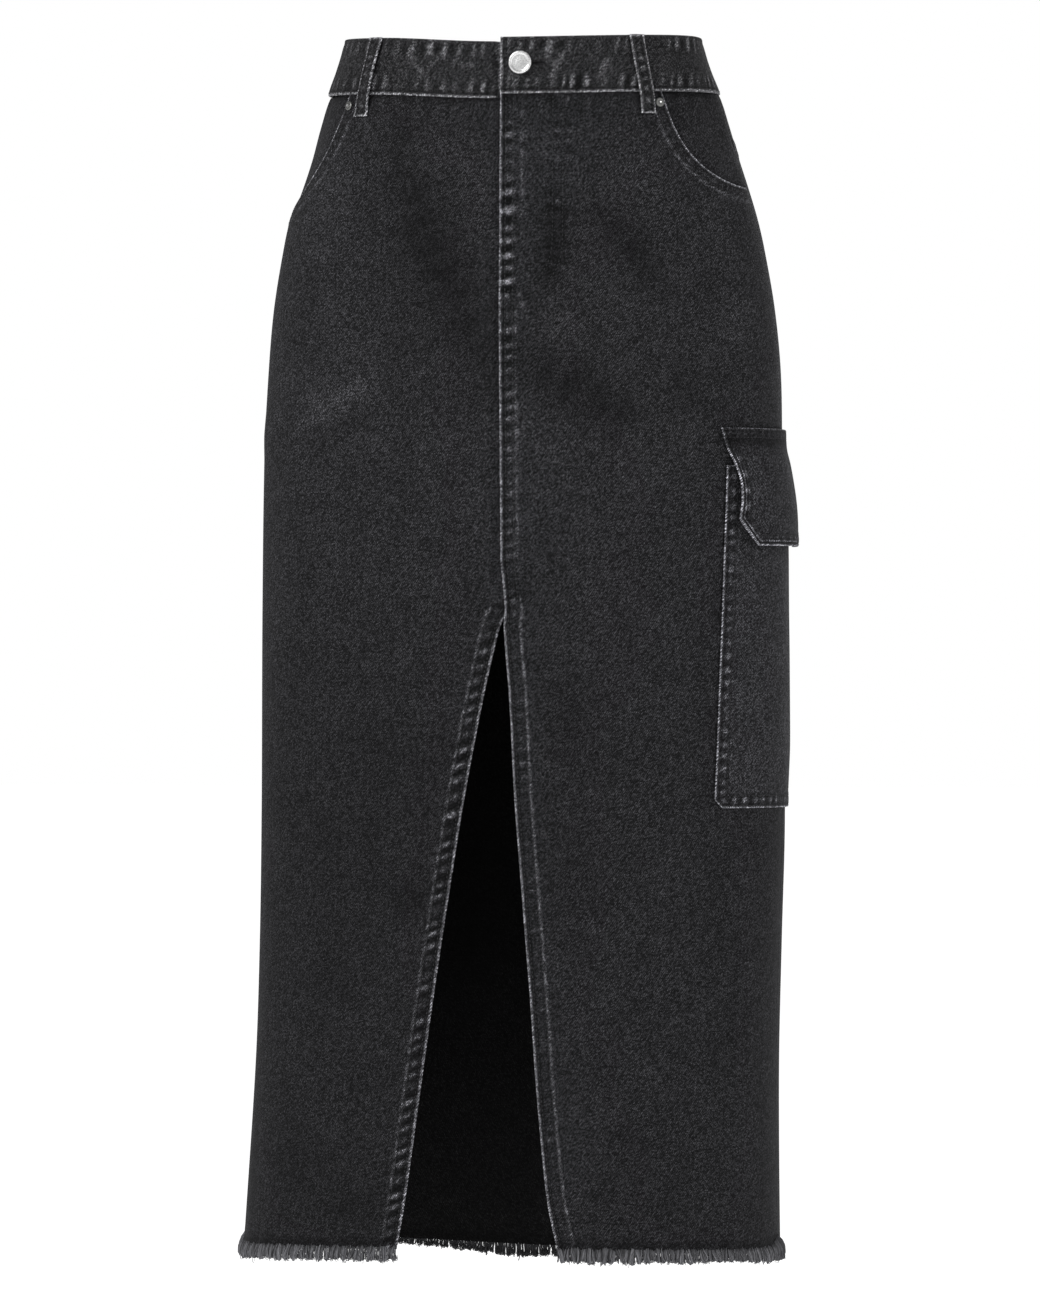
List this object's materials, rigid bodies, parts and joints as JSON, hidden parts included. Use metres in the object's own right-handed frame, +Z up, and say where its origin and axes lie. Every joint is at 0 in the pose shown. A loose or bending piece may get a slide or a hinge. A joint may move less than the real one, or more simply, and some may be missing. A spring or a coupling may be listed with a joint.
{
  "type": "denim skirt",
  "caption": "Worn-shape midi denim skirt, hollow and open at waist and hem, with a front slit, a frayed hem and a flapped patch pocket over the left side seam.",
  "frame": {"origin": "centre of the waist opening, at half the height of the waistband", "axes": "+Z up, out of the waist; -Y is the front; +X is the wearer's left, with the patch pocket"},
  "size_m": [0.4063, 0.2524, 0.9025],
  "materials": {
    "denim": "washed black twill",
    "denim_seamed": "washed black twill, worn lighter along its seams",
    "denim_patch": "washed black twill, worn lighter at its edges",
    "frayed_yarn": "grey cotton yarn",
    "zip_tape": "black woven tape",
    "button_metal": "polished nickel"
  },
  "bodies": {
    "root": {"back_left": "denim", "back_right": "denim", "belt_loop_centre_back": "denim_seamed", "belt_loop_front_left": "denim_seamed", "belt_loop_front_right": "denim_seamed", "belt_loop_side_left": "denim_seamed", "belt_loop_side_right": "denim_seamed", "cargo_flap": "denim_patch", "cargo_pocket": "denim_patch", "fly_shield": "denim", "fly_zip": "zip_tape", "fringe_back_left": "frayed_yarn", "fringe_back_right": "frayed_yarn", "fringe_front_left": "frayed_yarn", "fringe_front_right": "frayed_yarn", "front_left": "denim", "front_right": "denim", "pocket_facing_left": "denim", "pocket_facing_right": "denim", "rivet_left": "button_metal", "rivet_right": "button_metal", "waist_button": "button_metal", "waistband": "denim_seamed", "yoke_left": "denim", "yoke_right": "denim"}
  },
  "joints": []
}
